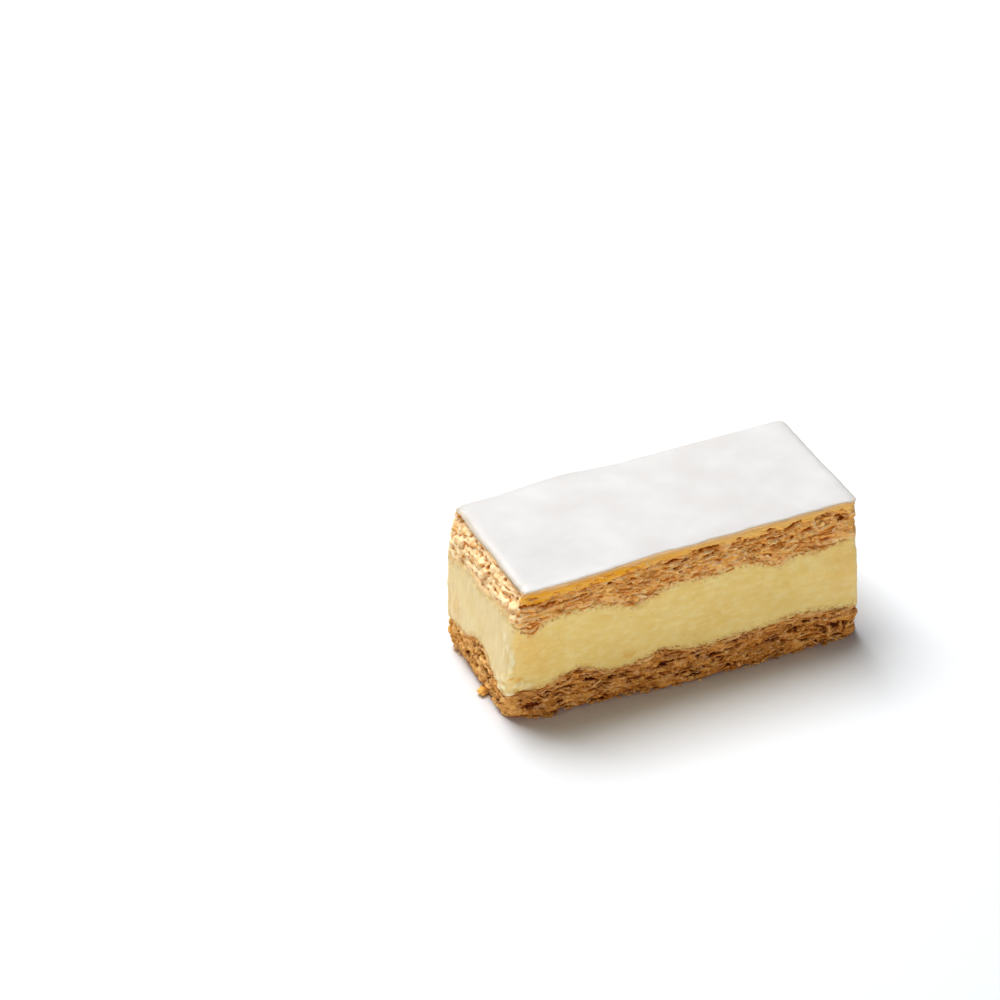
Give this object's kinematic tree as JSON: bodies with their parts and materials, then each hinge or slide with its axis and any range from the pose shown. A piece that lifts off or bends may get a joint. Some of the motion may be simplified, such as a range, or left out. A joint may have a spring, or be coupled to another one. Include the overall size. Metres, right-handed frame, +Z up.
{
  "type": "mille feuille slice",
  "caption": "Oblong slice of cream pastry: flaky pastry below and above a thick slab of set custard, with a thin sheet of white icing on top.",
  "frame": {"origin": "on the surface that the slice stands on, under the middle of the slice", "axes": "+Z up, X along the slice's length, Y across it, with the front at -Y"},
  "size_m": [0.1054, 0.0472, 0.0435],
  "materials": {
    "lower_pastry": "dry flaky puff pastry, well browned",
    "custard": "smooth moist set custard",
    "upper_pastry": "dry flaky puff pastry under a golden top skin",
    "icing": "satin white sugar icing"
  },
  "bodies": {
    "root": {"lower_pastry": "lower_pastry", "custard": "custard", "upper_pastry": "upper_pastry", "icing": "icing"}
  },
  "joints": []
}
